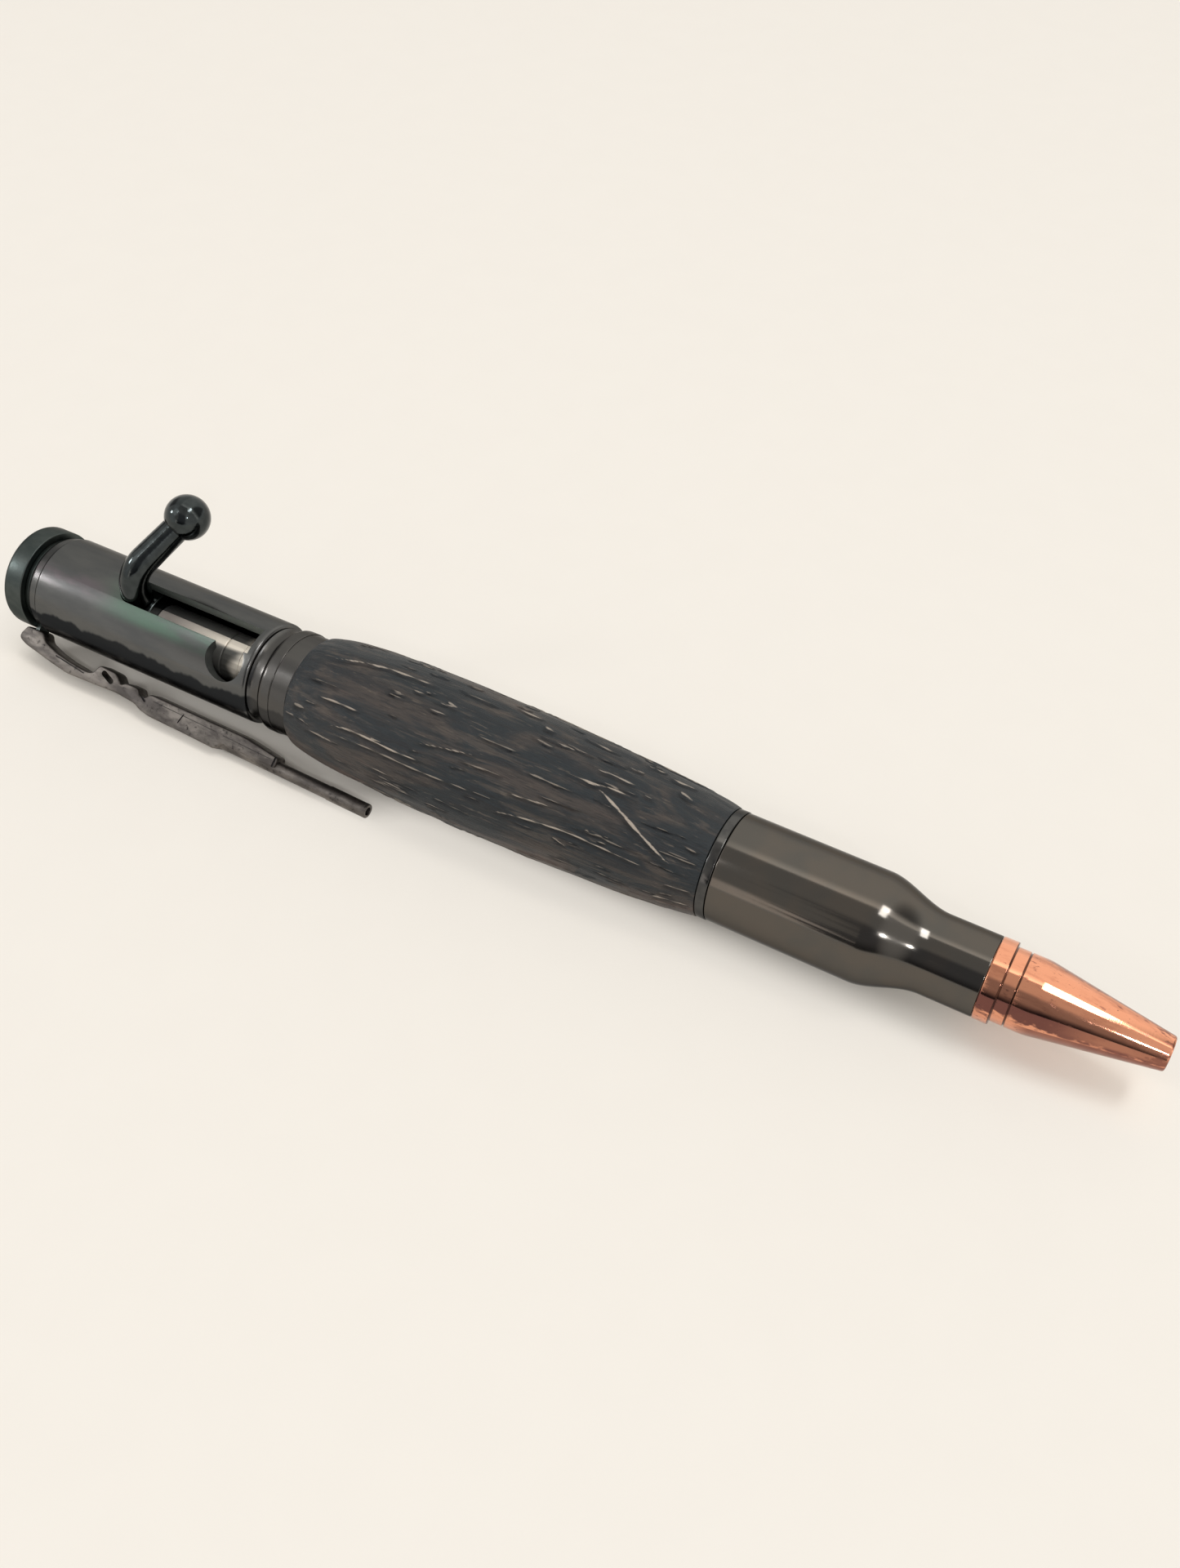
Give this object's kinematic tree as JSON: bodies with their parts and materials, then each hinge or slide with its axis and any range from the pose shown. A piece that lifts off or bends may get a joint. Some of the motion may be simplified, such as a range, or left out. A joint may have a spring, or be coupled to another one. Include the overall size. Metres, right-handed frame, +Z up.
{
  "type": "bolt-action ballpoint pen",
  "caption": "Bolt-action ballpoint pen with a turned wooden barrel, a bottle-necked nose, a side handle with a ball knob and a long clip.",
  "frame": {"origin": "bottom centre of the pen's box, as it lies on its belly and its clip", "axes": "+X along the pen towards its point, +Z up, -Y towards the side that the clip is on"},
  "size_m": [0.1414, 0.0174, 0.0238],
  "materials": {
    "copper": "copper plated, polished and lightly tarnished",
    "gunmetal": "gunmetal plated, satin to polished",
    "black_metal": "glossy black plated",
    "bright_metal": "bright drawn metal",
    "pewter": "antique pewter coloured, worn",
    "brass": "plain turned",
    "steel": "bright",
    "wood": "carved, stained dark and oiled",
    "ink": "wet"
  },
  "bodies": {
    "barrel": {"wood_barrel": "wood", "brass_tube": "brass", "front_coupler": "gunmetal", "rear_coupler": "gunmetal", "bolt_housing": "gunmetal", "end_cap": "gunmetal", "primer_disc": "brass", "clip_ring": "gunmetal", "return_spring": "steel"},
    "bolt": {"bolt_carrier": "black_metal", "push_rod": "bright_metal", "bolt_handle": "black_metal", "handle_knob": "black_metal"},
    "refill": {"refill_tube": "bright_metal", "refill_crown": "bright_metal", "refill_nose": "brass", "writing_tip": "steel", "ink_column": "ink"},
    "ball": {"writing_ball": "steel"},
    "thread": {"thread_bush": "brass"},
    "nose": {"cartridge_case": "gunmetal", "bullet_nose": "copper"},
    "clip": {"pocket_clip": "pewter"}
  },
  "joints": [
    {"name": "bolt_slide", "type": "slide", "parent": "barrel", "child": "bolt", "axis": [1, 0, 0], "range_m": [0, 0.0151], "stiffness_N_per_m": 120, "springref_m": -0.005},
    {"name": "refill_slide", "type": "slide", "parent": "barrel", "child": "refill", "axis": [1, 0, 0], "range_m": [0, 0.0151], "deforming": ["return_spring"]},
    {"name": "ball_roll", "type": "hinge", "parent": "refill", "child": "ball", "pos_m": [0.05771, 0.00012, 0.00792], "axis": [0, 1, 0], "continuous": true},
    {"name": "nose_advance", "type": "slide", "parent": "barrel", "child": "thread", "axis": [1, 0, 0], "range_m": [0, 0.00675]},
    {"name": "nose_turn", "type": "hinge", "parent": "thread", "child": "nose", "pos_m": [0.0444, 0.00012, 0.00792], "axis": [1, 0, 0], "range_deg": [0, 3241]},
    {"name": "clip_flex", "type": "hinge", "parent": "barrel", "child": "clip", "pos_m": [-0.06754, -0.00403, 0.0043], "axis": [0, 0.6574, -0.7536], "range_deg": [0, 3], "stiffness_Nm_per_rad": 0.2}
  ],
  "couplings": [
    {"joint": "refill_slide", "follows": "bolt_slide", "ratio": 1},
    {"joint": "nose_turn", "follows": "nose_advance", "rad_per_m": 8377.6}
  ]
}
